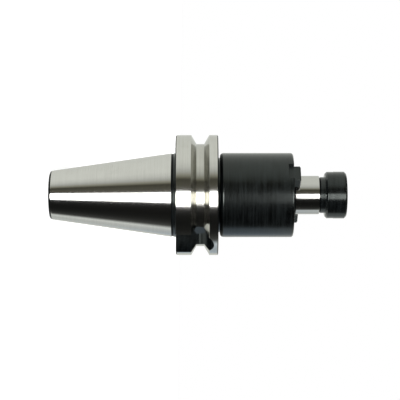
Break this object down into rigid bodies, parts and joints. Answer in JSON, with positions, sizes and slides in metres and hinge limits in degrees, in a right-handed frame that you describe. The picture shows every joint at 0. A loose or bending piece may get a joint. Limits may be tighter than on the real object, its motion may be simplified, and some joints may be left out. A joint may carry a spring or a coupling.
{
  "type": "face mill arbor",
  "caption": "Arbor for face mills and shell mills: steep taper shank, gripper flange with keyways, black front body with drive keys, ground pilot and a lock screw.",
  "frame": {"origin": "centre of the taper's gauge plane, on the tool axis", "axes": "+Z along the tool axis towards the nose; X through the two drive keys; Y through the two flange keyways. The arbor stands on the small end of its taper"},
  "size_m": [0.1, 0.1, 0.2461],
  "materials": {
    "ground_steel": "ground bright on the taper, flange, front face and pilot; black oxide on the front body, the keyways and the relief behind the flange",
    "black_key": "black oxide, ground sides",
    "black_screw": "black oxide, turned"
  },
  "bodies": {
    "arbor": {"arbor_body": "ground_steel", "drive_key_1": "black_key", "drive_key_2": "black_key", "key_screw_1": "black_screw", "key_screw_2": "black_screw"},
    "screw": {"lock_screw": "black_screw"}
  },
  "joints": [
    {"name": "lock_screw_travel", "type": "slide", "parent": "arbor", "child": "screw", "axis": [0, 0, 1], "range_m": [0, 0.06]}
  ]
}
